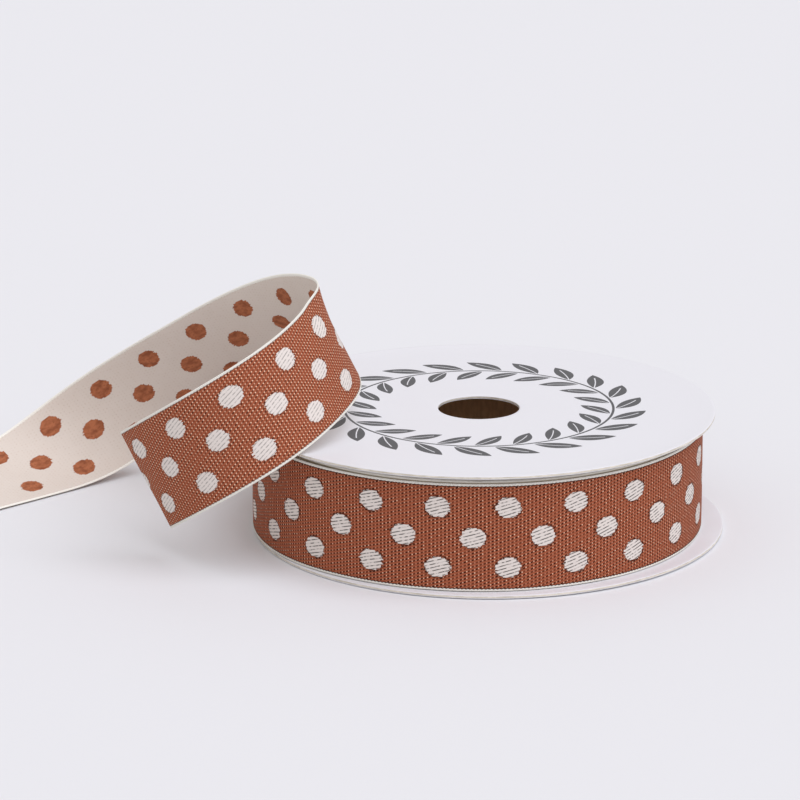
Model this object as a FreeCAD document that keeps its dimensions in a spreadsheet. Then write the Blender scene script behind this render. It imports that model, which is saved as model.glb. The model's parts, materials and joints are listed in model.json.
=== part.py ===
"""Roll of woven ribbon on a cardboard spool, with a loose strip of the same ribbon laid over it.

Millimetres, +Z up. The origin is on the axis of the spindle hole, at the underside of the bottom disc.
"""

import FreeCAD
import Part
import Sketcher
import math
import os

V = FreeCAD.Vector
UP = V(0, 0, 1)

SIZES = {
    # the two discs of the spool: printed paper, greyboard, lining paper
    "disc_radius": 54.3,
    "hole_radius": 9.4,
    "board_thickness": 0.6,
    "paper_thickness": 0.1,
    "bottom_shift": 2.3,        # how far the bottom disc's outline is punched off its hole, along +X
    # the kraft tube between the discs, and the glue in its corners
    "core_radius": 26.0,
    "core_wall": 2.0,
    "glue_height": 1.6,
    "glue_width": 1.2,
    # the ribbon
    "ribbon_width": 24.6,
    "ribbon_thickness": 0.33,
    "wound_radius": 51.0,       # to the outside of the turns under the outermost one
    "bottom_play": 0.2,         # between the ribbon's lower edge and the lining that it all but stands on
    "top_play": 1.6,            # between its upper edge and the lining above
    "turn_air": 0.03,           # between the outermost turn and the one beneath it
    "turn_end_angle": 100.0,    # where the outermost turn is cut off, behind the roll
    # the two pieces of clear tape
    "tape_thickness": 0.05,
    "tape_width": 12.0,
    "tape_length": 18.0,
    "tape_air": 0.02,
}

# The loose strip, followed along its middle from the cut end that hangs in front of the roll, over the
# rim of the top disc, round its curl and down to the floor at the left: millimetres along the strip, how
# tightly it bends there in degrees per 10 mm, and how far the bend's crease line slants, in degrees.
STRIP_BENDS = [
    (0, 8, 0),
    (20, 18, 10),
    (40, 29, 12),
    (60, 19, 12),
    (80, 16, -17),
    (100, 14, -26),
    (120, 10, -2),
    (140, 0, 25),
    (160, 18, 40),
    (180, 34, 43),
    (200, 1, 40),
    (220, 0, 0),
]
STRIP_START = V(-75.4, -22.0, 17.7)
STRIP_HEADING = -64.5           # of the first millimetres, from +X towards +Y
STRIP_CLIMB = 26.0
STRIP_LEAN = 18.5
STRIP_STEP = 2.5
# the roll that these bends were laid over
STRIP_DISC_RADIUS = 54.3
STRIP_ROLL_HEIGHT = 28.0

DISC = "(Sizes.board_thickness + 2 * Sizes.paper_thickness)"
GAP = "(Sizes.ribbon_width + Sizes.bottom_play + Sizes.top_play)"
TOP_DISC = f"({DISC} + {GAP})"
RIBBON_BASE = f"({DISC} + Sizes.bottom_play)"

doc = FreeCAD.newDocument("ribbon_roll")
sheet = doc.addObject("Spreadsheet::Sheet", "Sizes")
for row, (alias, value) in enumerate(SIZES.items(), start=1):
    sheet.set(f"A{row}", alias)
    sheet.set(f"B{row}", str(value))
    sheet.setAlias(f"B{row}", alias)
doc.recompute()


def size(alias):
    """A size as the sheet holds it."""
    return float(sheet.get(alias))


def disc_thickness():
    return size("board_thickness") + 2 * size("paper_thickness")


def origin_plane(body, role):
    return [feature for feature in body.Origin.OriginFeatures if feature.Role == role][0]


def ring(name, outer, inner, height, base, shift="0"):
    """A round piece with a round hole: two circles padded. Its sizes are expressions on the sheet."""
    body = doc.addObject("PartDesign::Body", name)
    body.Label = name
    sketch = body.newObject("Sketcher::SketchObject", f"{name}_outline")
    sketch.AttachmentSupport = [(origin_plane(body, "XY_Plane"), "")]
    sketch.MapMode = "FlatFace"
    sketch.addGeometry(Part.Circle(V(0, 0, 0), UP, 2), False)
    sketch.addGeometry(Part.Circle(V(0, 0, 0), UP, 1), False)
    for index, label, value in ((0, "outer", outer), (1, "inner", inner)):
        constraint = sketch.addConstraint(Sketcher.Constraint("Radius", index, 2.0 - index))
        sketch.renameConstraint(constraint, label)
        sketch.setExpression(f"Constraints.{label}", value)
    sketch.addConstraint(Sketcher.Constraint("Coincident", 1, 3, -1, 1))
    sketch.addConstraint(Sketcher.Constraint("PointOnObject", 0, 3, -1))
    constraint = sketch.addConstraint(Sketcher.Constraint("DistanceX", -1, 1, 0, 3, 0.0))
    sketch.renameConstraint(constraint, "shift")
    sketch.setExpression("Constraints.shift", shift)
    pad = body.newObject("PartDesign::Pad", f"{name}_pad")
    pad.Profile = sketch
    pad.setExpression("Length", height)
    body.setExpression("Placement.Base.z", base)
    return body


def glue_ring(name, base, upright):
    """A fillet of glue in the corner between the core's inside and a disc."""
    inside = "(Sizes.core_radius - Sizes.core_wall)"
    block = doc.addObject("Part::Cylinder", f"{name}_block")
    block.setExpression("Radius", inside)
    block.setExpression("Height", "Sizes.glue_height")
    hollow = doc.addObject("Part::Cone", f"{name}_hollow")
    narrow, wide = ("Radius1", "Radius2") if upright else ("Radius2", "Radius1")
    hollow.setExpression(narrow, f"{inside} - Sizes.glue_width")
    hollow.setExpression(wide, inside)
    hollow.setExpression("Height", "Sizes.glue_height")
    fillet = doc.addObject("Part::Cut", name)
    fillet.Label = name
    fillet.Base = block
    fillet.Tool = hollow
    fillet.setExpression("Placement.Base.z", base)
    return fillet


def tape(name, inside, middle_angle):
    """A strip of tape bent round a cylinder, half way up the ribbon."""
    sweep = f"(Sizes.tape_length / ({inside}) * 180 / pi)"
    pieces = []
    for part_name, radius in (("back", inside), ("front", f"({inside} + Sizes.tape_thickness)")):
        piece = doc.addObject("Part::Cylinder", f"{name}_{part_name}")
        piece.setExpression("Radius", radius)
        piece.setExpression("Height", "Sizes.tape_width")
        piece.setExpression("Angle", sweep)
        pieces.append(piece)
    strip = doc.addObject("Part::Cut", name)
    strip.Label = name
    strip.Base = pieces[1]
    strip.Tool = pieces[0]
    strip.setExpression("Placement.Base.z", f"{RIBBON_BASE} + (Sizes.ribbon_width - Sizes.tape_width) / 2")
    strip.Placement.Rotation = FreeCAD.Rotation(UP, 0)
    strip.setExpression("Placement.Rotation.Angle", f"{middle_angle} - {sweep} / 2")
    return strip


def spiral(start_radius, per_turn, points=49):
    """One turn of a spiral that starts and ends at the angle where the ribbon is cut off."""
    start = math.radians(size("turn_end_angle"))
    route = []
    for index in range(points):
        share = index / (points - 1)
        angle = start + 2 * math.pi * share
        radius = start_radius + per_turn * share
        route.append(V(radius * math.cos(angle), radius * math.sin(angle), 0))
    curve = Part.BSplineCurve()
    curve.interpolate(route)
    return curve.toShape(), route[0], route[-1]


def between(distance, column):
    """A value of STRIP_BENDS at a distance along the strip, on straight lines between its rows."""
    for low, high in zip(STRIP_BENDS, STRIP_BENDS[1:]):
        if distance <= high[0]:
            share = (distance - low[0]) / (high[0] - low[0])
            return low[column] + share * (high[column] - low[column])
    return STRIP_BENDS[-1][column]


def strip_creases():
    """The loose strip as a row of crease lines: lower end, upper end and the strip's normal at each."""
    half_width = size("ribbon_width") / 2
    roll_height = 2 * disc_thickness() + size("ribbon_width") + size("bottom_play") + size("top_play")
    round_the_roll = size("disc_radius") / STRIP_DISC_RADIUS
    over_the_roll = roll_height / STRIP_ROLL_HEIGHT
    heading, climb, lean = (math.radians(a) for a in (STRIP_HEADING, STRIP_CLIMB, STRIP_LEAN))
    along = V(math.cos(climb) * math.cos(heading), math.cos(climb) * math.sin(heading), math.sin(climb))
    upright = (UP - along * along.z).normalize()
    across = upright * math.cos(lean) + along.cross(upright) * math.sin(lean)
    middle = V(STRIP_START)
    creases = []
    length = STRIP_BENDS[-1][0]
    for index in range(int(length / STRIP_STEP) + 1):
        distance = index * STRIP_STEP
        reach = across + along * math.tan(math.radians(between(distance, 2)))
        low = middle - reach * half_width
        low = V(low.x * round_the_roll, low.y * round_the_roll, low.z * over_the_roll)
        creases.append((low, low + reach * (2 * half_width), along.cross(across)))
        halfway = distance + STRIP_STEP / 2
        slant = math.radians(between(halfway, 2))
        crease = across * math.cos(slant) + along * math.sin(slant)
        half_turn = FreeCAD.Rotation(crease, between(halfway, 1) * STRIP_STEP / 10 / 2)
        along = half_turn.multVec(along)
        middle = middle + along * STRIP_STEP
        along = half_turn.multVec(along)
        across = half_turn.multVec(half_turn.multVec(across))
    return creases


def solid_piece(name, shape):
    piece = doc.addObject("Part::Feature", name)
    piece.Label = name
    piece.Shape = shape
    piece.Placement = FreeCAD.Placement()
    return piece


# bottom disc, from the floor up
PAPER = "Sizes.paper_thickness"
BOARD = "Sizes.board_thickness"
bottom = [
    ("bottom_facing", PAPER, "0"),
    ("bottom_board", BOARD, PAPER),
    ("bottom_lining", PAPER, f"{PAPER} + {BOARD}"),
]
pieces = [
    ring(name, "Sizes.disc_radius", "Sizes.hole_radius", height, base, "Sizes.bottom_shift")
    for name, height, base in bottom
]

# top disc, the same three layers the other way up
top = [
    ("top_lining", PAPER, TOP_DISC),
    ("top_board", BOARD, f"{TOP_DISC} + {PAPER}"),
    ("top_facing", PAPER, f"{TOP_DISC} + {PAPER} + {BOARD}"),
]
pieces += [ring(name, "Sizes.disc_radius", "Sizes.hole_radius", height, base) for name, height, base in top]

# core tube, glued at both ends
pieces.append(ring("core_tube", "Sizes.core_radius", "Sizes.core_radius - Sizes.core_wall", GAP, DISC))
pieces.append(glue_ring("bottom_glue", DISC, True))
pieces.append(glue_ring("top_glue", f"{TOP_DISC} - Sizes.glue_height", False))

# tape that holds the ribbon's inner end to the core
pieces.append(tape("start_tape", "Sizes.core_radius + Sizes.tape_air", "0"))

# the wound ribbon: a spiral outside with a step of one thickness, round the core and its tape
ribbon_lift = V(0, 0, size("ribbon_width"))
ribbon_base = V(0, 0, disc_thickness() + size("bottom_play"))
per_turn = size("ribbon_thickness") + size("turn_air")
edge, edge_start, edge_end = spiral(size("wound_radius"), per_turn)
outline = Part.Wire([edge, Part.makeLine(edge_end, edge_start)])
inner_radius = size("core_radius") + size("tape_thickness") + 2 * size("tape_air")
hole = Part.Wire([Part.Circle(V(0, 0, 0), UP, inner_radius).toShape()])
pack_face = Part.makeFace([outline, hole], "Part::FaceMakerBullseye")
pack_face.translate(ribbon_base)
pieces.append(solid_piece("wound_ribbon", pack_face.extrude(ribbon_lift)))

# its outermost turn, one thickness of ribbon once round
inner_start_radius = size("wound_radius") + size("turn_air")
inner_edge, inner_start, inner_end = spiral(inner_start_radius, per_turn)
outer_edge, outer_start, outer_end = spiral(inner_start_radius + size("ribbon_thickness"), per_turn)
turn_outline = Part.Wire([
    inner_edge,
    Part.makeLine(inner_end, outer_end),
    outer_edge,
    Part.makeLine(outer_start, inner_start),
])
turn_face = Part.Face(turn_outline)
turn_face.translate(ribbon_base)
pieces.append(solid_piece("outer_turn", turn_face.extrude(ribbon_lift)))

# tape over the cut end of the outermost turn
outside = "Sizes.wound_radius + 2 * Sizes.turn_air + 2 * Sizes.ribbon_thickness + Sizes.tape_air"
pieces.append(tape("end_tape", outside, "Sizes.turn_end_angle"))

# the loose strip: one thin four-sided section at each crease, joined in a row
half_thickness = size("ribbon_thickness") / 2
sections = []
for low, high, normal in strip_creases():
    corners = [low - normal * half_thickness, high - normal * half_thickness,
               high + normal * half_thickness, low + normal * half_thickness]
    sections.append(Part.makePolygon(corners + corners[:1]))
pieces.append(solid_piece("loose_length", Part.makeLoft(sections, True, True)))

doc.recompute()
for thing in doc.Objects:
    if "Invalid" in thing.State or "Error" in thing.State:
        raise RuntimeError(f"{thing.Label} failed: {thing.State}")
for piece in pieces:
    if piece.Shape.isNull() or not piece.Shape.isValid() or len(piece.Shape.Solids) != 1:
        raise RuntimeError(f"{piece.Label} isn't one sound solid")

os.makedirs("parts", exist_ok=True)
for piece in pieces:
    piece.Shape.exportStep(f"parts/{piece.Label}.step")
    box = piece.Shape.BoundBox
    print(f"{piece.Label:14s} volume {piece.Shape.Volume:10.1f} mm3  z {box.ZMin:6.2f} to {box.ZMax:6.2f}")
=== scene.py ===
import json
import math

import bmesh
import bpy
import numpy as np
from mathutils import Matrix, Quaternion, Vector, noise


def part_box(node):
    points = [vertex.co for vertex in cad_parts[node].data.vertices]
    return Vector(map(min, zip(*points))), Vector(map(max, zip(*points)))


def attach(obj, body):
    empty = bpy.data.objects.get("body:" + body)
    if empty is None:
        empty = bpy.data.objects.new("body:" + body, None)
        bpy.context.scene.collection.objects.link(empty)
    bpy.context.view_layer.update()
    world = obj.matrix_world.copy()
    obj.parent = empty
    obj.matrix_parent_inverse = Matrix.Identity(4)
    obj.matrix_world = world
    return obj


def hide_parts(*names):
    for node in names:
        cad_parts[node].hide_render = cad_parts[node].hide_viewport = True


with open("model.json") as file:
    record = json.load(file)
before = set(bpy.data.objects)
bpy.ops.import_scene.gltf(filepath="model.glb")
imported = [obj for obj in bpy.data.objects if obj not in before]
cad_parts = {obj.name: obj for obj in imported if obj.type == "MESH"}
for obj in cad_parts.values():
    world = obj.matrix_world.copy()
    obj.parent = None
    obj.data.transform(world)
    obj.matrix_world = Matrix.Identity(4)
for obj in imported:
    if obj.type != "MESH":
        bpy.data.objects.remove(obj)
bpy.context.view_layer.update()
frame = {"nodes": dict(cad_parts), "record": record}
MM = 0.001


# ---------------------------------------------------------------- the two discs
# Each end of the spool is a disc punched from thin pulp board, with white paper glued over both faces.
# The die presses the rim thin and leaves the board's cream fibres bare. The discs are glued to the core.

hole_radius = next(m for m in frame["record"]["mounts"] if m["name"] == "spindle_hole")["dims"]["r_mm"] * MM
rim_pinch = 0.22            # share of its thickness that a disc loses at the very rim
rim_pinch_reach = 0.35 * MM
rim_curl = 0.2 * MM         # how far the rims stand up, since damp board doesn't lie flat
curl_start = 47 * MM
round_steps = 288
coated_white = (0.83, 0.82, 0.85, 1)
cut_cream = (0.86, 0.80, 0.70, 1)
cut_grey = (0.50, 0.45, 0.36, 1)
print_ink = (0.045, 0.045, 0.05, 1)


def new_finish(name, roughness):
    """A material with its node tree and its Principled shader."""
    material = bpy.data.materials.new(name)
    material.use_nodes = True
    shader = material.node_tree.nodes["Principled BSDF"]
    shader.inputs["Roughness"].default_value = roughness
    return material, material.node_tree, shader


def put(tree, value, socket):
    """Sets a socket to a number or a colour, or links another node's output to it."""
    if isinstance(value, bpy.types.NodeSocket):
        tree.links.new(value, socket)
    else:
        socket.default_value = value


def calc(tree, operation, *values):
    """The output of a Math node."""
    made = tree.nodes.new("ShaderNodeMath")
    made.operation = operation
    for socket, value in zip(made.inputs, values):
        put(tree, value, socket)
    return made.outputs[0]


def ease(tree, value, low, high, to_low=0.0, to_high=1.0):
    """Goes smoothly from to_low to to_high as the value goes from low to high."""
    made = tree.nodes.new("ShaderNodeMapRange")
    made.interpolation_type = "SMOOTHSTEP"
    for socket, setting in zip(made.inputs, (value, low, high, to_low, to_high)):
        put(tree, setting, socket)
    return made.outputs[0]


def tint(tree, share, first, second):
    """A colour between two colours."""
    made = tree.nodes.new("ShaderNodeMix")
    made.data_type = "RGBA"
    put(tree, share, made.inputs[0])
    put(tree, first, made.inputs[6])
    put(tree, second, made.inputs[7])
    return made.outputs[2]


def grain(tree, places, size, stretch=(1, 1, 1), detail=3.0):
    """Noise with lumps of about that size, in metres, longer along an axis where stretch is under 1."""
    scaled = tree.nodes.new("ShaderNodeMapping")
    scaled.inputs["Scale"].default_value = stretch
    tree.links.new(places, scaled.inputs["Vector"])
    made = tree.nodes.new("ShaderNodeTexNoise")
    made.inputs["Scale"].default_value = 1 / size
    made.inputs["Detail"].default_value = detail
    tree.links.new(scaled.outputs[0], made.inputs["Vector"])
    return made.outputs["Fac"]


def relief(tree, shader, height, depth):
    """Bump from a height of 0 to 1 that is worth that depth in metres."""
    made = tree.nodes.new("ShaderNodeBump")
    made.inputs["Distance"].default_value = depth
    tree.links.new(height, made.inputs["Height"])
    tree.links.new(made.outputs[0], shader.inputs["Normal"])


def own_places(tree):
    return tree.nodes.new("ShaderNodeTexCoord").outputs["Object"]


wreath_leaves = 22
wreath_radius = 31          # mm
leaf_half_long, leaf_half_wide, leaf_slope = 5.2, 1.9, math.radians(42)
stem_half_wide = 0.3        # mm
midrib_half_wide = 0.13     # mm
midrib_end = 0.55           # share of the half leaf that the bare line down its middle reaches


def leaf_wreath(tree, places):
    """1 on the printed ring of leaves: a stem, with a leaf on either side of it in each of its parts."""
    split = tree.nodes.new("ShaderNodeSeparateXYZ")
    tree.links.new(places, split.inputs[0])
    x = calc(tree, "DIVIDE", split.outputs[0], MM)
    y = calc(tree, "DIVIDE", split.outputs[1], MM)
    radius = calc(tree, "SQRT", calc(tree, "MULTIPLY_ADD", x, x, calc(tree, "MULTIPLY", y, y)))
    part = 2 * math.pi / wreath_leaves
    rise, run = math.sin(leaf_slope), math.cos(leaf_slope)
    turns = calc(tree, "DIVIDE", calc(tree, "ARCTAN2", y, x), part)
    from_stem = calc(tree, "SUBTRACT", radius, wreath_radius)
    side = calc(tree, "SIGN", from_stem)
    turns = calc(tree, "MULTIPLY_ADD", side, 0.25, turns)
    in_part = calc(tree, "SUBTRACT", calc(tree, "FRACT", turns), 0.5)
    along = calc(tree, "MULTIPLY", in_part, part * wreath_radius)
    out = calc(tree, "SUBTRACT", calc(tree, "ABSOLUTE", from_stem), leaf_half_long * rise + 0.5)
    down_leaf = calc(tree, "MULTIPLY_ADD", along, run, calc(tree, "MULTIPLY", out, rise))
    off_leaf = calc(tree, "MULTIPLY_ADD", along, -rise, calc(tree, "MULTIPLY", out, run))
    off_leaf = calc(tree, "ABSOLUTE", off_leaf)
    share = calc(tree, "DIVIDE", down_leaf, leaf_half_long)
    squared = calc(tree, "MULTIPLY", share, share)
    half_wide = calc(tree, "MULTIPLY_ADD", squared, -leaf_half_wide, leaf_half_wide)
    leaf = calc(tree, "LESS_THAN", off_leaf, half_wide)
    beside = calc(tree, "GREATER_THAN", off_leaf, midrib_half_wide)
    midrib = calc(tree, "MULTIPLY", beside, calc(tree, "LESS_THAN", share, midrib_end))
    tip = calc(tree, "GREATER_THAN", share, midrib_end)
    leaf = calc(tree, "MULTIPLY", leaf, calc(tree, "MAXIMUM", midrib, tip))
    stem = calc(tree, "LESS_THAN", calc(tree, "ABSOLUTE", from_stem), stem_half_wide)
    return calc(tree, "MAXIMUM", leaf, stem)


def coated_paper(printed):
    material, tree, shader = new_finish("printed_paper" if printed else "coated_paper", 0.42)
    places = own_places(tree)
    fibres = grain(tree, places, 0.9 * MM, (1, 0.4, 1), 5)
    clouds = grain(tree, places, 14 * MM)
    shade = calc(tree, "MULTIPLY_ADD", fibres, 0.10, calc(tree, "MULTIPLY", clouds, 0.10))
    colour = tint(tree, shade, coated_white, (0.74, 0.73, 0.75, 1))
    if printed:
        colour = tint(tree, calc(tree, "MULTIPLY", leaf_wreath(tree, places), 0.96), colour, print_ink)
    tree.links.new(colour, shader.inputs["Base Color"])
    relief(tree, shader, fibres, 0.006 * MM)
    return material


def cut_board():
    """Layers of pulp seen edge on: fine streaks round the rim, cream with greyer fibres."""
    material, tree, shader = new_finish("cut_board", 0.85)
    places = own_places(tree)
    layers = grain(tree, places, 0.16 * MM, (0.05, 0.05, 1), 4)
    lumps = grain(tree, places, 1.5 * MM)
    share = ease(tree, calc(tree, "MULTIPLY_ADD", lumps, 0.35, layers), 0.45, 0.95)
    tree.links.new(tint(tree, share, cut_cream, cut_grey), shader.inputs["Base Color"])
    relief(tree, shader, layers, 0.05 * MM)
    return material


def skin(name, rows, round_rows, finishes):
    """A closed mesh over rows of points. Each row is a closed loop, and the rows close too if round_rows."""
    rows = np.asarray(rows, float)
    count, around = rows.shape[:2]
    mesh = bpy.data.meshes.new(name)
    faces = []
    for row in range(count if round_rows else count - 1):
        below, above = row * around, (row + 1) % count * around
        for step in range(around):
            after = (step + 1) % around
            faces.append((below + step, below + after, above + after, above + step))
    if not round_rows:
        for step in range(around // 2 - 1):
            cap = (step, step + 1, around - 2 - step, around - 1 - step)
            faces.append(cap[::-1])
            faces.append(tuple((count - 1) * around + corner for corner in cap))
    mesh.from_pydata(rows.reshape(-1, 3).tolist(), [], faces)
    for finish in finishes:
        mesh.materials.append(finish)
    mesh.shade_smooth()
    piece = bpy.data.objects.new(name, mesh)
    bpy.context.scene.collection.objects.link(piece)
    return piece


def face_outward(piece):
    """Turns the faces of a closed mesh outward if its volume comes out negative."""
    shape = bmesh.new()
    shape.from_mesh(piece.data)
    if shape.calc_volume(signed=True) < 0:
        bmesh.ops.reverse_faces(shape, faces=shape.faces)
    shape.to_mesh(piece.data)
    shape.free()


def disc_layer(node, finish):
    """One layer of a disc in the place of its node, pinched thin at the rim and at the hole."""
    low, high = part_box(node)
    middle_x = (low.x + high.x) / 2
    outer_radius = (high.y - low.y) / 2
    disc_low = min(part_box(n)[0].z for n in frame["nodes"] if n.startswith(node.split("_")[0] + "_board"))
    disc_high = max(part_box(n)[1].z for n in frame["nodes"] if n.startswith(node.split("_")[0] + "_board"))
    disc_middle = (disc_low + disc_high) / 2
    width = outer_radius - hole_radius
    edge = 0.06 * MM            # the burr's rounding at both edges
    across = [0, edge, 0.3 * MM, 0.7 * MM, 2 * MM, 0.5 * width, 0.7 * width, 0.8 * width, 0.87 * width,
              width - 3 * MM, width - 1.4 * MM, width - 0.7 * MM, width - 0.3 * MM, width - edge, width]
    outline = [(d, high.z, edge if d in (0, width) else 0) for d in across]
    outline += [(d, low.z, edge if d in (0, width) else 0) for d in reversed(across)]
    rows = []
    for step in range(round_steps):
        angle = 2 * math.pi * step / round_steps
        toward = Vector((math.cos(angle), math.sin(angle), 0))
        rough = noise.noise(toward * 55 + Vector((0, 0, disc_middle * 900))) * 0.035 * MM
        loop = []
        for distance, height, corner in outline:
            from_edge = min(distance, width - distance)
            pinch = 1 - rim_pinch * math.exp(-from_edge / rim_pinch_reach)
            z = disc_middle + (height - disc_middle) * pinch
            z += math.copysign(corner * 0.6, disc_middle - height)
            at_hole = toward * hole_radius
            at_rim = Vector((middle_x, 0, 0)) + toward * outer_radius
            place = at_hole.lerp(at_rim, distance / width) + toward * rough * (from_edge < 0.2 * MM)
            lifted = max(0, place.length - curl_start) / (outer_radius - curl_start)
            uneven = 1.0 + 0.5 * noise.noise(toward * 1.3 + Vector((0, 0, disc_middle * 300)))
            z += rim_curl * uneven * lifted ** 3
            loop.append((place.x, place.y, z))
        rows.append(loop)
    piece = skin(node.replace("_facing", "_face_paper").replace("_lining", "_lining_paper") + "_disc",
                 rows, True, [finish])
    face_outward(piece)
    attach(piece, "roll")
    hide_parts(node)
    return piece


paper_finish = coated_paper(False)
board_finish = cut_board()
for end in ("bottom", "top"):
    disc_layer(f"{end}_facing", coated_paper(True) if end == "top" else paper_finish)
    disc_layer(f"{end}_board", board_finish)
    disc_layer(f"{end}_lining", paper_finish)


# ---------------------------------------------------------------- the core
# A tube wound from brown kraft paper in a spiral, with its seam showing inside and out. White glue holds
# it between the discs, and stands in both corners inside as a squeezed-out bead.

kraft_brown = (0.56, 0.33, 0.17, 1)
kraft_dark = (0.33, 0.18, 0.085, 1)
seam_rise = 34 * MM         # how far the seam climbs in one turn
glue_reach = 1.2 * MM       # how far a bead of glue stands out from the tube's wall


def kraft():
    material, tree, shader = new_finish("kraft", 0.8)
    places = own_places(tree)
    split = tree.nodes.new("ShaderNodeSeparateXYZ")
    tree.links.new(places, split.inputs[0])
    turns = calc(tree, "DIVIDE", calc(tree, "ARCTAN2", split.outputs[1], split.outputs[0]), 2 * math.pi)
    climb = calc(tree, "FRACT", calc(tree, "ADD", calc(tree, "DIVIDE", split.outputs[2], seam_rise), turns))
    seam = ease(tree, calc(tree, "ABSOLUTE", calc(tree, "SUBTRACT", climb, 0.5)), 0.475, 0.492)
    fibres = grain(tree, places, 0.8 * MM, (1, 1, 0.3), 6)
    shade = calc(tree, "MAXIMUM", seam, ease(tree, fibres, 0.35, 0.75, 0, 0.45))
    tree.links.new(tint(tree, shade, kraft_brown, kraft_dark), shader.inputs["Base Color"])
    relief(tree, shader, calc(tree, "SUBTRACT", calc(tree, "MULTIPLY", fibres, 0.4), seam), 0.12 * MM)
    return material


def dried_glue():
    material, tree, shader = new_finish("dried_glue", 0.3)
    lumps = grain(tree, own_places(tree), 1.2 * MM)
    tree.links.new(tint(tree, lumps, (0.78, 0.73, 0.60, 1), (0.62, 0.55, 0.40, 1)),
                   shader.inputs["Base Color"])
    relief(tree, shader, lumps, 0.15 * MM)
    return material


tube = frame["nodes"]["core_tube"]
tube.data.materials.clear()
tube.data.materials.append(kraft())
glue_finish = dried_glue()
for end, climbs in (("bottom", 1), ("top", -1)):
    low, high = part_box(f"{end}_glue")
    tube_wall = high.x
    foot = low.z if climbs > 0 else high.z
    rows = []
    for step in range(round_steps):
        angle = 2 * math.pi * step / round_steps
        toward = Vector((math.cos(angle), math.sin(angle), 0))
        squeezed = 0.72 + 0.28 * noise.noise(toward * 5 + Vector((0, 0, 3 * climbs)))
        tall, wide = (high.z - low.z) * squeezed, glue_reach * squeezed
        loop = []
        for rise, reach in ((0, 0), (1, 0), (0.62, 0.2), (0.3, 0.38), (0.12, 0.62), (0, 1), (0, 0.5)):
            place = toward * (tube_wall - reach * wide)
            loop.append((place.x, place.y, foot + climbs * rise * tall))
        rows.append(loop)
    bead = skin(f"{end}_glue_bead", rows, True, [glue_finish])
    face_outward(bead)
    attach(bead, "roll")
    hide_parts(f"{end}_glue")


# ---------------------------------------------------------------- the weave
# The ribbon is a jacquard of rust and ivory yarn. On its face the rust lies on top and the ivory comes up
# as dots; on its back the colours change places. Both edges are ivory selvedges, rounder than the cloth.

pick_pitch = 0.866          # mm along the ribbon from one pick to the next
end_pitch = 0.763           # mm across, between the places where a pick is tied down
dot_pitch = 15.5            # mm along between the dots of a row
dot_row = 6.9               # mm from the middle row to the rows beside it
dot_half_long, dot_half_wide = 2.78, 2.36
selvedge_width = 0.6
rust = (0.36, 0.097, 0.0455, 1)
# A painted highlight for the twill's ties, partly the paler tie yarn.
rust_glint = (0.93, 0.60, 0.42, 1)
# Painted shade for the gaps between the yarns, the dots' notches and the selvedge groove.
painted_hollow_shade = (0.06, 0.011, 0.004, 1)
rust_back = (0.45, 0.155, 0.072, 1)
rust_back_dark = (0.27, 0.085, 0.04, 1)
ivory = (0.79, 0.715, 0.665, 1)
# Painted shade in the twill grooves across the ivory dots.
ivory_hatch_shade = (0.11, 0.10, 0.09, 1)
ivory_back = (0.75, 0.67, 0.60, 1)
selvedge_ivory = (0.93, 0.90, 0.82, 1)


def cloth_places(tree):
    """Millimetres along and across the cloth as it lay on the loom, and 1 on the roll or 0 on the loose
    strip, which sets how strong the painted highlights and shade are.
    """
    made = tree.nodes.new("ShaderNodeAttribute")
    made.attribute_name = "weave"
    split = tree.nodes.new("ShaderNodeSeparateXYZ")
    tree.links.new(made.outputs["Vector"], split.inputs[0])
    return made.outputs["Vector"], *split.outputs


def by_chance(tree, x, y):
    """A number from 0 to 1 that differs from one pair of whole numbers to the next."""
    joined = tree.nodes.new("ShaderNodeCombineXYZ")
    tree.links.new(x, joined.inputs[0])
    tree.links.new(y, joined.inputs[1])
    made = tree.nodes.new("ShaderNodeTexWhiteNoise")
    made.noise_dimensions = "2D"
    tree.links.new(joined.outputs[0], made.inputs["Vector"])
    return made.outputs["Value"]


def twill_cell(tree, along, across, shift_along, shift_across):
    """Millimetres from the middle of the twill's cell, and the cell's own chance number.

    Each pick is tied a third further up than the last.
    """
    picks = calc(tree, "MULTIPLY_ADD", along, 1 / pick_pitch, shift_along)
    pick = calc(tree, "FLOOR", picks)
    from_pick = calc(tree, "SUBTRACT", calc(tree, "SUBTRACT", picks, pick), 0.5)
    ties = calc(tree, "MULTIPLY_ADD", across, 1 / end_pitch, shift_across)
    ties = calc(tree, "MULTIPLY_ADD", pick, -1 / 3, ties)
    tie = calc(tree, "FLOOR", ties)
    from_tie = calc(tree, "SUBTRACT", calc(tree, "SUBTRACT", ties, tie), 0.5)
    x = calc(tree, "MULTIPLY", from_pick, pick_pitch)
    y = calc(tree, "MULTIPLY", from_tie, end_pitch)
    return x, y, by_chance(tree, pick, tie)


def spot(tree, x, y, half_long, half_wide, inner, outer):
    """1 inside an oval and 0 outside, from inner to outer times its size."""
    long_share = calc(tree, "DIVIDE", x, half_long)
    wide_share = calc(tree, "DIVIDE", y, half_wide)
    squared = calc(tree, "MULTIPLY", wide_share, wide_share)
    squared = calc(tree, "MULTIPLY_ADD", long_share, long_share, squared)
    return ease(tree, calc(tree, "SQRT", squared), inner, outer, 1, 0)


def leaning(tree, x, y, slope):
    """The same place measured along and off a line at that slope."""
    long = calc(tree, "MULTIPLY_ADD", x, math.cos(slope), calc(tree, "MULTIPLY", y, math.sin(slope)))
    off = calc(tree, "MULTIPLY_ADD", x, -math.sin(slope), calc(tree, "MULTIPLY", y, math.cos(slope)))
    return long, off


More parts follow.
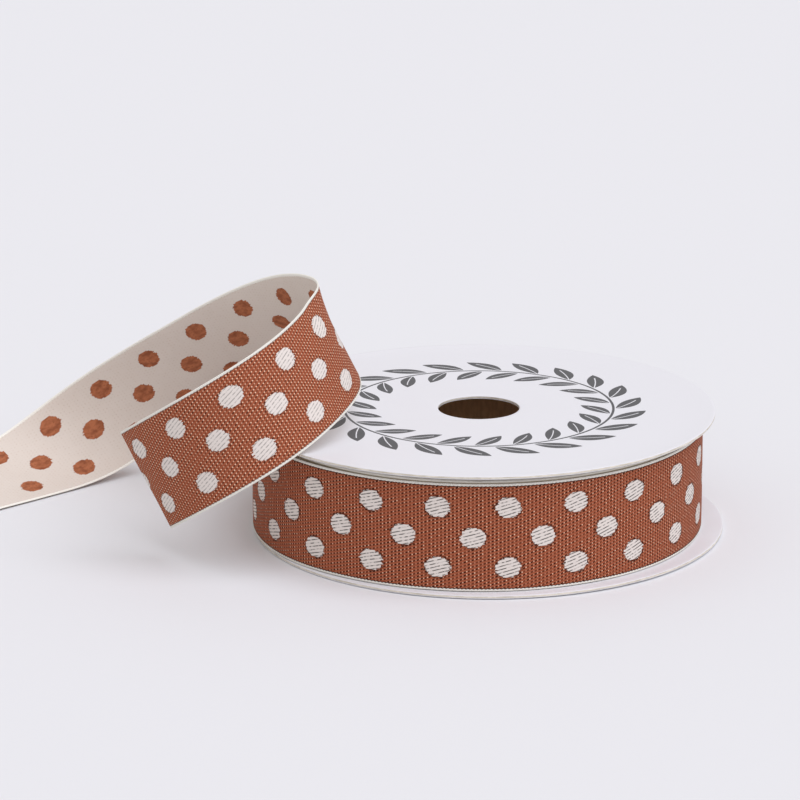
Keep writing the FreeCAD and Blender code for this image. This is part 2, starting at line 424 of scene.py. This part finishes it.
def dot_reach(tree, along, across, raggedness):
    """How far out from the nearest dot's middle a place lies, as a share of the dot's size.

    The outlines go in steps, a yarn at a time.
    """
    end_step, float_step = end_pitch / 3, pick_pitch / 3
    end = calc(tree, "FLOOR", calc(tree, "DIVIDE", across, end_step))
    picks = calc(tree, "FLOOR", calc(tree, "DIVIDE", along, float_step))
    pull = by_chance(tree, end, calc(tree, "FLOOR", calc(tree, "DIVIDE", along, dot_pitch / 4)))
    pull = calc(tree, "MULTIPLY", calc(tree, "SUBTRACT", pull, 0.5), raggedness)
    y = calc(tree, "MULTIPLY", calc(tree, "ADD", end, 0.5), end_step)
    x = calc(tree, "ADD", calc(tree, "MULTIPLY", calc(tree, "ADD", picks, 0.5), float_step), pull)
    reaches = []
    for start, row in ((0.5, dot_row), (0.0, 0.0)):
        in_pitch = calc(tree, "FRACT", calc(tree, "MULTIPLY_ADD", x, 1 / dot_pitch, start))
        long_share = calc(tree, "SUBTRACT", in_pitch, 0.5)
        long_share = calc(tree, "MULTIPLY", long_share, dot_pitch / dot_half_long)
        wide_share = calc(tree, "SUBTRACT", calc(tree, "ABSOLUTE", y), row)
        wide_share = calc(tree, "DIVIDE", wide_share, dot_half_wide)
        squared = calc(tree, "MULTIPLY", wide_share, wide_share)
        reaches.append(calc(tree, "SQRT", calc(tree, "MULTIPLY_ADD", long_share, long_share, squared)))
    return calc(tree, "MINIMUM", *reaches)


def from_selvedge(tree, along, across):
    """Millimetres past the inner edge of the selvedge, which swings out a little at every pick."""
    swing = calc(tree, "SINE", calc(tree, "MULTIPLY", along, 2 * math.pi / pick_pitch))
    inside = calc(tree, "MULTIPLY_ADD", swing, 0.05, ribbon_half_width - selvedge_width)
    return calc(tree, "SUBTRACT", calc(tree, "ABSOLUTE", across), inside)


def selvedge_ribs(tree, along, across):
    """The yarn turning back round the edge at each pick."""
    slanted = calc(tree, "MULTIPLY_ADD", calc(tree, "ABSOLUTE", across), 0.8, along)
    wave = calc(tree, "SINE", calc(tree, "MULTIPLY", slanted, 2 * math.pi / pick_pitch * 2))
    return calc(tree, "MULTIPLY_ADD", wave, 0.5, 0.5)


def ribbon_face():
    """Rust twill: a pale tie at each binding point, brightened as a painted highlight, and a gap between the
    yarns in painted shade; the roll gets darker shade and weaker highlights than the loose strip.
    """
    material, tree, shader = new_finish("ribbon_face", 0.7)
    places, along, across, on_roll = cloth_places(tree)
    drift = calc(tree, "MULTIPLY", calc(tree, "SUBTRACT", grain(tree, places, 6, (1, 1, 1), 2), 0.5), 0.35)
    wavy = calc(tree, "ADD", across, drift)
    x, y, chance = twill_cell(tree, along, wavy, 0.0, 0.0)
    # Painted highlight: a pale spot at each tie, partly the paler tie yarn, stronger on the loose strip than
    # on the roll.
    glint = spot(tree, x, y, 0.17, 0.17, 0.5, 1.2)
    shine = calc(tree, "MULTIPLY", chance, chance)
    shine = calc(tree, "MULTIPLY_ADD", shine, 0.85, 0.25)
    glint = calc(tree, "MULTIPLY", glint, calc(tree, "MULTIPLY", shine, ease(tree, on_roll, 0, 1, 2.0, 0.9)))
    # Painted shade: the gap between the yarns at each tie is darkened, more on the roll than on the loose
    # strip; the same gap also sinks the bump.
    x, y, chance = twill_cell(tree, along, wavy, 0.5, 0.24)
    long, off = leaning(tree, x, y, math.radians(30))
    gap = spot(tree, long, off, 0.34, 0.19, 0.6, 1.2)
    depth = calc(tree, "MULTIPLY_ADD", chance, 0.6, 0.5)
    gap = calc(tree, "MULTIPLY", gap, calc(tree, "MULTIPLY", depth, ease(tree, on_roll, 0, 1, 0.8, 1.2)))
    ground = tint(tree, gap, rust, painted_hollow_shade)
    ground = tint(tree, glint, ground, rust_glint)
    # The twill lines across the dots are real grooves, drawn in near-black painted shade, darker on the roll,
    # where the light grazes, than on the loose strip.
    hatch = calc(tree, "MULTIPLY_ADD", along, -1 / 3 / pick_pitch, calc(tree, "DIVIDE", wavy, end_pitch))
    hatch = calc(tree, "ABSOLUTE", calc(tree, "SUBTRACT", calc(tree, "FRACT", hatch), 0.5))
    broken = ease(tree, grain(tree, places, 0.8, (1, 1, 1), 2), 0.38, 0.56, 0.15, 1.0)
    hatch = calc(tree, "MULTIPLY", ease(tree, hatch, 0.27, 0.42), broken)
    hatch = calc(tree, "MULTIPLY", hatch, ease(tree, on_roll, 0, 1, 0.52, 0.95))
    floats = tint(tree, hatch, ivory, ivory_hatch_shade)
    reach = dot_reach(tree, along, across, 0.5)
    dots = calc(tree, "LESS_THAN", reach, 1.0)
    # Painted shade: dark notches just outside the dots' stepped outlines, fainter on the loose strip.
    notch_shade = calc(tree, "LESS_THAN", reach, 1.16)
    notch_shade = calc(tree, "MULTIPLY", notch_shade, ease(tree, chance, 0.3, 0.7, 0.2, 0.9))
    notch_shade = calc(tree, "MULTIPLY", notch_shade, ease(tree, on_roll, 0, 1, 0.4, 0.85))
    past_edge = from_selvedge(tree, along, across)
    edge = calc(tree, "GREATER_THAN", past_edge, 0.0)
    # Painted shade: a dark line in the groove along the inner edge of each selvedge, fainter on the loose
    # strip.
    groove_shade = spot(tree, past_edge, 0.0, 0.17, 1.0, 0.35, 1.0)
    ribs = selvedge_ribs(tree, along, across)
    ground = tint(tree, notch_shade, ground, painted_hollow_shade)
    colour = tint(tree, dots, ground, floats)
    colour = tint(tree, edge, colour, selvedge_ivory)
    groove_shade = calc(tree, "MULTIPLY", groove_shade, ease(tree, on_roll, 0, 1, 0.5, 0.95))
    colour = tint(tree, groove_shade, colour, painted_hollow_shade)
    tree.links.new(colour, shader.inputs["Base Color"])
    cloth = calc(tree, "MULTIPLY_ADD", glint, 0.35, 0.5)
    cloth = calc(tree, "SUBTRACT", cloth, calc(tree, "MULTIPLY", gap, 0.5))
    dot = calc(tree, "MULTIPLY_ADD", hatch, -0.5, 1.0)
    height = calc(tree, "MULTIPLY_ADD", calc(tree, "SUBTRACT", dot, cloth), dots, cloth)
    height = calc(tree, "MULTIPLY_ADD", calc(tree, "SUBTRACT", ribs, height), edge, height)
    relief(tree, shader, height, 0.10 * MM)
    shader.inputs["Specular IOR Level"].default_value = 0.1
    return material


def ribbon_back():
    """Smooth ivory floats, with the rust yarn bound down on the dots and faintly showing between."""
    material, tree, shader = new_finish("ribbon_back", 0.75)
    places, along, across, _ = cloth_places(tree)
    dots = calc(tree, "LESS_THAN", dot_reach(tree, along, across, 0.35), 1.0)
    edge = calc(tree, "GREATER_THAN", from_selvedge(tree, along, across), 0.0)
    x, y, chance = twill_cell(tree, along, across, 0.0, 0.0)
    ties = calc(tree, "MULTIPLY", spot(tree, x, y, 0.24, 0.2, 0.3, 1.3), chance)
    clouds = grain(tree, places, 7, (1, 1, 1), 2)
    faint = calc(tree, "MULTIPLY_ADD", ties, 0.3, calc(tree, "MULTIPLY", clouds, 0.2))
    ground = tint(tree, faint, ivory_back, (0.58, 0.45, 0.36, 1))
    patchy = ease(tree, grain(tree, places, 1.1, (0.6, 1, 1), 3), 0.35, 0.7)
    dot_colour = tint(tree, calc(tree, "MAXIMUM", ties, patchy), rust_back, rust_back_dark)
    colour = tint(tree, dots, ground, dot_colour)
    colour = tint(tree, edge, colour, selvedge_ivory)
    tree.links.new(colour, shader.inputs["Base Color"])
    height = calc(tree, "MULTIPLY_ADD", dots, 0.3, calc(tree, "MULTIPLY_ADD", ties, -0.3, 0.5))
    relief(tree, shader, height, 0.06 * MM)
    shader.inputs["Specular IOR Level"].default_value = 0.1
    return material


ribbon_low, ribbon_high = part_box("outer_turn")
ribbon_half_width = (ribbon_high.z - ribbon_low.z) / 2 / MM
ribbon_half_thick = 0.165
station_step = pick_pitch / 2


def ribbon_section():
    """Across and outward from the cloth's middle, in mm: the face from edge to edge, then the back."""
    half = ribbon_half_width
    bead = selvedge_width / 2
    side = [(-half, 0.0)]
    for share in (0.08, 0.3, 0.6, 1.0, 1.4, 1.7, 1.92):
        side.append((-half + share * bead, 0.03 + 0.2 * math.sqrt(max(0, 1 - (share - 1) ** 2))))
    side.append((-half + 2.2 * bead, 0.12))
    side.append((-half + 2.8 * bead, ribbon_half_thick))
    body = 2 * (half - 2.8 * bead)
    face = side + [(-half + 2.8 * bead + body * k / 20, ribbon_half_thick) for k in range(1, 20)]
    face += [(-across, out) for across, out in reversed(side)]
    back = [(across, -out) for across, out in reversed(face[1:-1])]
    return face, back


def ribbon(name, creases, along, dot_start, dot_stretch, smooth_bumps, roll_flag, give):
    """The cloth between rows of (lower end, upper end, outward normal). Its flat places go to the shader.

    give says, for a flat place in mm, how far the cloth gives way there and how far its pattern slips along.
    """
    face, back = ribbon_section()
    loop = face + back
    half = ribbon_half_width
    rows, weave = [], []
    for index, (low, high, outward) in enumerate(creases):
        beads = 1.0 if index % 2 else 0.86
        row = []
        for across, out in loop:
            share = (across + half) / (2 * half)
            flat_along = along[index][0] + (along[index][1] - along[index][0]) * share
            moved, slip = give(flat_along, across)
            pattern_along = (flat_along + slip - dot_start) / dot_stretch
            swell = beads if abs(across) > half - selvedge_width else 1.0
            ripple = smooth_bumps * noise.noise(Vector((flat_along / 11, across / 9, 3.1)))
            on_dot = 0.0
            for shift, centre in ((0.0, dot_row), (0.5, 0.0)):
                dx = ((pattern_along / dot_pitch + shift + 0.5) % 1 - 0.5) * dot_pitch
                if (dx / dot_half_long) ** 2 + ((abs(across) - centre) / dot_half_wide) ** 2 < 1:
                    on_dot = 0.03
            lift = out * swell + math.copysign(on_dot, out) + ripple
            place = low.lerp(high, share) + outward * (lift * MM) + moved * MM
            row.append(place)
            # The third number is 1 on the roll and 0 on the loose strip; it sets how strong the painted
            # highlights and shade are.
            weave.append((pattern_along, across, roll_flag))
        rows.append(row)
    piece = skin(name, rows, False, [face_finish, back_finish])
    around = len(loop)
    mesh = piece.data
    places = mesh.attributes.new("weave", "FLOAT_VECTOR", "POINT")
    places.data.foreach_set("vector", np.array(weave, np.float32).ravel())
    for polygon in mesh.polygons:
        if polygon.index < (len(rows) - 1) * around:
            step = polygon.index % around
            polygon.material_index = 0 if step < len(face) - 1 else 1
    return piece


face_finish = ribbon_face()
back_finish = ribbon_back()


# ---------------------------------------------------------------- the wound turns
# Some seventy turns of the ribbon, wound tight round the core. From outside only the edges of the turns
# show, in the gap under the top disc: ivory selvedges, each a hair higher or lower than the next.

edge_turns = 26             # turns whose edges are shaped one by one, from the outside in
turn_pitch = 0.36 * MM


def turn_edges():
    material, tree, shader = new_finish("turn_edges", 0.75)
    places = own_places(tree)
    fuzz = grain(tree, places, 0.5 * MM, (1, 1, 1), 4)
    split = tree.nodes.new("ShaderNodeSeparateXYZ")
    tree.links.new(places, split.inputs[0])
    # Painted shade: the turn edges go olive brown below the outer turn's top edge, where shade falls down
    # between the turns.
    crevice_shade = ease(tree, split.outputs[2], ribbon_high.z, ribbon_high.z + 0.3 * MM, 1, 0)
    shade = calc(tree, "MAXIMUM", calc(tree, "MULTIPLY", fuzz, 0.3), crevice_shade)
    tree.links.new(tint(tree, shade, selvedge_ivory, (0.40, 0.33, 0.22, 1)), shader.inputs["Base Color"])
    relief(tree, shader, fuzz, 0.05 * MM)
    return material


low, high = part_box("wound_ribbon")
pack_radius = high.x - 0.25 * MM
core_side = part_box("core_tube")[1].x + 0.09 * MM
pack_rows = []
for step in range(192):
    angle = 2 * math.pi * step / 192
    toward = Vector((math.cos(angle), math.sin(angle), 0))
    upper, lower = [], []
    for turn in range(edge_turns):
        radius = pack_radius - turn * turn_pitch
        drift = noise.noise(toward * 1.5 + Vector((0, 0, turn * 7.7))) * 0.16 * MM
        lift = drift + (0.3 * math.sin(turn * 2.1) + 0.2 * math.sin(turn * 0.8 + 3)) * MM + 0.5 * MM
        for back_off, drop in ((0.03, 0.35), (0.12, 0.06), (0.24, 0.06), (0.33, 0.35)):
            upper.append((radius - back_off * MM, high.z + lift - drop * MM))
            lower.append((radius - back_off * MM, low.z + (drop - 0.03) * MM))
    inner = [(core_side, high.z - 0.3 * MM), (core_side, low.z + 0.3 * MM)]
    outline = [(pack_radius, high.z - 0.6 * MM)] + upper + inner + lower[::-1]
    outline.append((pack_radius, low.z + 0.6 * MM))
    pack_rows.append([(toward.x * radius, toward.y * radius, z) for radius, z in outline])
pack = skin("wound_turns", pack_rows, True, [turn_edges()])
face_outward(pack)
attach(pack, "roll")
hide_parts("wound_ribbon")


# ---------------------------------------------------------------- the outermost turn
# One more turn of the same ribbon, face outward. It starts and is cut off behind the roll, where a piece
# of clear tape holds its end down.

turn_low_radius = 51.03 + ribbon_half_thick
turn_growth = 0.36
loose_bulge = 0.95          # mm that the last turn stands off the roll at the left
loose_reach = math.radians(48)
turn_cut_angle = math.radians(100)
front_angle = math.radians(270)
first_dot_angle = math.radians(6.0)
turn_length = 2 * math.pi * (turn_low_radius + turn_growth / 2)
turn_steps = int(turn_length / station_step)
turn_creases, turn_along = [], []
for step in range(turn_steps + 1):
    share = step / turn_steps
    angle = turn_cut_angle + 2 * math.pi * share
    toward = Vector((math.cos(angle), math.sin(angle), 0))
    bulge = loose_bulge * math.exp(-((angle - math.pi) / loose_reach) ** 4)
    radius = (turn_low_radius + turn_growth * share + bulge) * MM
    wander = 0.05 * MM * noise.noise(Vector((3 * math.cos(angle), 3 * math.sin(angle), 8.0)))
    low_place = toward * radius + Vector((0, 0, ribbon_low.z + wander))
    high_place = toward * radius + Vector((0, 0, ribbon_high.z + wander))
    turn_creases.append((low_place, high_place, toward))
    along_turn = (angle - front_angle - first_dot_angle) * (turn_low_radius + turn_growth / 2)
    turn_along.append((along_turn, along_turn))


def no_give(along, across):
    return Vector(), 0.0


outer = ribbon("outermost_turn", turn_creases, turn_along, 0.0, 1.0, 0.05, 1.0, no_give)
face_outward(outer)
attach(outer, "roll")
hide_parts("outer_turn")


# ---------------------------------------------------------------- the tapes
# Two short pieces of clear film tape, cut square: one on the core, under the first turn, and one over the
# cut end of the last turn. They are bent to the round they stick to.

def clear_film():
    material, tree, shader = new_finish("clear_film", 0.16)
    streaks = grain(tree, own_places(tree), 1.5 * MM, (1, 1, 0.2), 3)
    colour = tint(tree, streaks, (0.92, 0.90, 0.84, 1), (0.80, 0.78, 0.72, 1))
    tree.links.new(colour, shader.inputs["Base Color"])
    shader.inputs["Alpha"].default_value = 0.3
    relief(tree, shader, streaks, 0.02 * MM)
    return material


film = clear_film()
for name in ("start_tape", "end_tape"):
    tape = frame["nodes"][name]
    tape.data.materials.clear()
    tape.data.materials.append(film)


# ---------------------------------------------------------------- the loose strip
# A cut length of the same ribbon, laid on the rim of the top disc. It keeps the curl of the roll, and comes
# down to the floor at the left. Its bends, slants, start and first direction below are the rounded result
# of a fit by a separate script, not set by hand.

strip_bends = [
    # mm along, degrees of bend per 10 mm, slant of the crease in degrees
    (0, 8, 0),
    (20, 18, 10),
    (40, 29, 12),
    (60, 19, 12),
    (80, 16, -17),
    (100, 14, -26),
    (120, 10, -2),
    (140, 0, 25),
    (160, 18, 40),
    (180, 34, 43),
    (200, 1, 40),
    (220, 0, 0),
]
strip_start = Vector((-75.4, -22.0, 17.7))
strip_heading, strip_climb, strip_lean = math.radians(-64.5), math.radians(26.0), math.radians(18.5)
crease_step = 2.5
strip_dots_from = 5.0
strip_dot_pitch = 15.8


def bend_at(distance, column):
    table = np.array(strip_bends, float)
    return float(np.interp(distance, table[:, 0], table[:, column]))


def turned(direction, axis, angle):
    return Quaternion(axis, angle) @ direction


strip_length = strip_bends[-1][0]
along = Vector((math.cos(strip_climb) * math.cos(strip_heading),
                math.cos(strip_climb) * math.sin(strip_heading),
                math.sin(strip_climb)))
upright = (Vector((0, 0, 1)) - along * along.z).normalized()
across = upright * math.cos(strip_lean) + along.cross(upright) * math.sin(strip_lean)
middle = strip_start.copy()
coarse = []
for index in range(int(strip_length / crease_step) + 1):
    distance = index * crease_step
    tangent = math.tan(math.radians(bend_at(distance, 2)))
    reach = (across + along * tangent) * ribbon_half_width
    flat = (distance - tangent * ribbon_half_width, distance + tangent * ribbon_half_width)
    coarse.append((middle - reach, middle + reach, along.cross(across), flat))
    halfway = distance + crease_step / 2
    slant = math.radians(bend_at(halfway, 2))
    crease = across * math.cos(slant) + along * math.sin(slant)
    half_turn = math.radians(bend_at(halfway, 1)) * crease_step / 10 / 2
    along = turned(along, crease, half_turn)
    middle = middle + along * crease_step
    along = turned(along, crease, half_turn)
    across = turned(across, crease, 2 * half_turn)


def between_rows(rows, place):
    """A smooth curve through rows of numbers, at a place counted in rows."""
    index = min(int(place), len(rows) - 2)
    share = place - index
    before, start = rows[max(index - 1, 0)], rows[index]
    end, after = rows[index + 1], rows[min(index + 2, len(rows) - 1)]
    return 0.5 * (2 * start + (end - before) * share + (2 * before - 5 * start + 4 * end - after) * share ** 2
                  + (3 * start - before - 3 * end + after) * share ** 3)


strip_steps = int(strip_length / station_step)
strip_creases, strip_along = [], []
strip_rows = [np.array([list(row[column]) for row in coarse]) for column in range(4)]
for step in range(strip_steps + 1):
    place = (len(coarse) - 1) * step / strip_steps
    low_end, high_end, outward, flat = (between_rows(rows, place) for rows in strip_rows)
    strip_creases.append((Vector(low_end) * MM, Vector(high_end) * MM, Vector(outward).normalized()))
    strip_along.append(tuple(flat))


def soft_step(value, low, high):
    share = min(max((value - low) / (high - low), 0), 1)
    return share * share * (3 - 2 * share)


def curl_give(along, across):
    """Round the bend the cloth stands a little wider, and its upper edge stands up straighter.

    The pattern slips with it, and at the cut end too, where part of one more dot shows.
    """
    held_back = soft_step(across, 4, 12) * (1 - soft_step(along, 66, 80))
    bend = math.exp(-((along - 74) / 15) ** 2) * (1 - held_back)
    behind = soft_step(along, 66, 84) * (1 - soft_step(along, 96, 140))
    edge = max(0, (across - 3) / 9.3) ** 1.5
    slip = 2.0 * math.exp(-((along - 63) / 12) ** 2) - 1.6 * math.exp(-((along - 90) / 9) ** 2)
    slip -= 1.9 * math.exp(-(along / 2.5) ** 2 - (across / 4.5) ** 2)
    return Vector((1.4, 0, -0.4)) * bend + Vector((1.7, 2.1, 1.1)) * (behind * edge), slip


strip = ribbon("loose_ribbon", strip_creases, strip_along, strip_dots_from, strip_dot_pitch / dot_pitch,
               0.12, 0.0, curl_give)
face_outward(strip)
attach(strip, "loose_length")
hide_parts("loose_length")


# ---------------------------------------------------------------- the studio
# A wide pale floor under soft light from above and a little from the right, and the camera.

def pale_floor():
    material, tree, shader = new_finish("pale_floor", 0.9)
    shader.inputs["Base Color"].default_value = (0.80, 0.795, 0.81, 1)
    return material


floor_mesh = bpy.data.meshes.new("floor")
floor_mesh.from_pydata([(-6, -6, 0), (6, -6, 0), (6, 6, 0), (-6, 6, 0)], [], [(0, 1, 2, 3)])
floor_mesh.materials.append(pale_floor())
floor = bpy.data.objects.new("floor", floor_mesh)
bpy.context.scene.collection.objects.link(floor)

world = bpy.data.worlds.new("soft_room")
bpy.context.scene.world = world
world.use_nodes = True
world.node_tree.nodes["Background"].inputs["Color"].default_value = (1.0, 0.98, 0.97, 1)
world.node_tree.nodes["Background"].inputs["Strength"].default_value = 0.57

lamp = bpy.data.lights.new("key", "SUN")
lamp.energy = 1.84
lamp.color = (0.96, 0.98, 1.07)
lamp.angle = math.radians(60)
lamp_object = bpy.data.objects.new("key", lamp)
lamp_object.rotation_euler = Vector((-0.385, 0.385, -0.84)).to_track_quat("-Z", "Y").to_euler()
bpy.context.scene.collection.objects.link(lamp_object)

camera = bpy.data.cameras.new("camera")
camera.lens = 161.9
camera.clip_start = 0.01
camera_object = bpy.data.objects.new("camera", camera)
camera_object.location = (-0.01813, -0.79599, 0.26046)
camera_object.rotation_euler = (math.radians(90 - 16.16), 0, 0)
camera_object.rotation_euler.rotate_axis("Z", math.radians(-0.27))
bpy.context.scene.collection.objects.link(camera_object)
bpy.context.scene.camera = camera_object
bpy.context.scene.view_settings.view_transform = "Standard"
